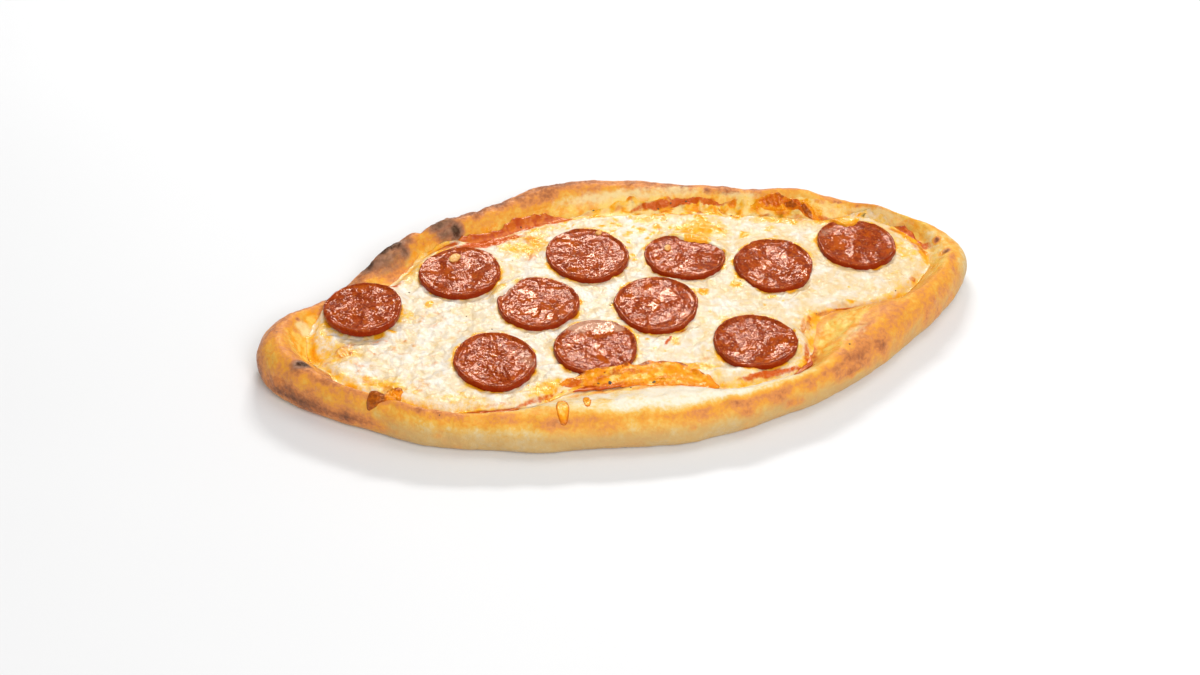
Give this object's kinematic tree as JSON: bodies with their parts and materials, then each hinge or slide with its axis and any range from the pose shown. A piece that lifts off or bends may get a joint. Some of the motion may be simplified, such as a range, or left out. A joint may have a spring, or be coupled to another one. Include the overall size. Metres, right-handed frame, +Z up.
{
  "type": "peinirli",
  "caption": "Boat-shaped baked pizza: a puffy bread rim round tomato sauce, melted cheese and round slices of cured sausage.",
  "frame": {"origin": "under the middle of the plan, on the surface that the boat rests on", "axes": "+X along the boat to the pointed tip, +Y to the far side of the rim, +Z up"},
  "size_m": [0.3103, 0.17, 0.0211],
  "materials": {
    "crust": "baked dough, pale cream low on the sides, golden to brown along the crest, with charred blisters",
    "sauce": "cooked tomato sauce, orange-red and oily",
    "cheese": "melted cheese, creamy white with golden oil spots",
    "sausage": "baked cured sausage, red-brown, pebbled and wet with fat"
  },
  "bodies": {
    "root": {"crust": "crust", "sauce": "sauce", "cheese": "cheese", "sausage_slice_01": "sausage", "sausage_slice_02": "sausage", "sausage_slice_03": "sausage", "sausage_slice_04": "sausage", "sausage_slice_05": "sausage", "sausage_slice_06": "sausage", "sausage_slice_07": "sausage", "sausage_slice_08": "sausage", "sausage_slice_09": "sausage", "sausage_slice_10": "sausage", "sausage_slice_11": "sausage"}
  },
  "joints": []
}
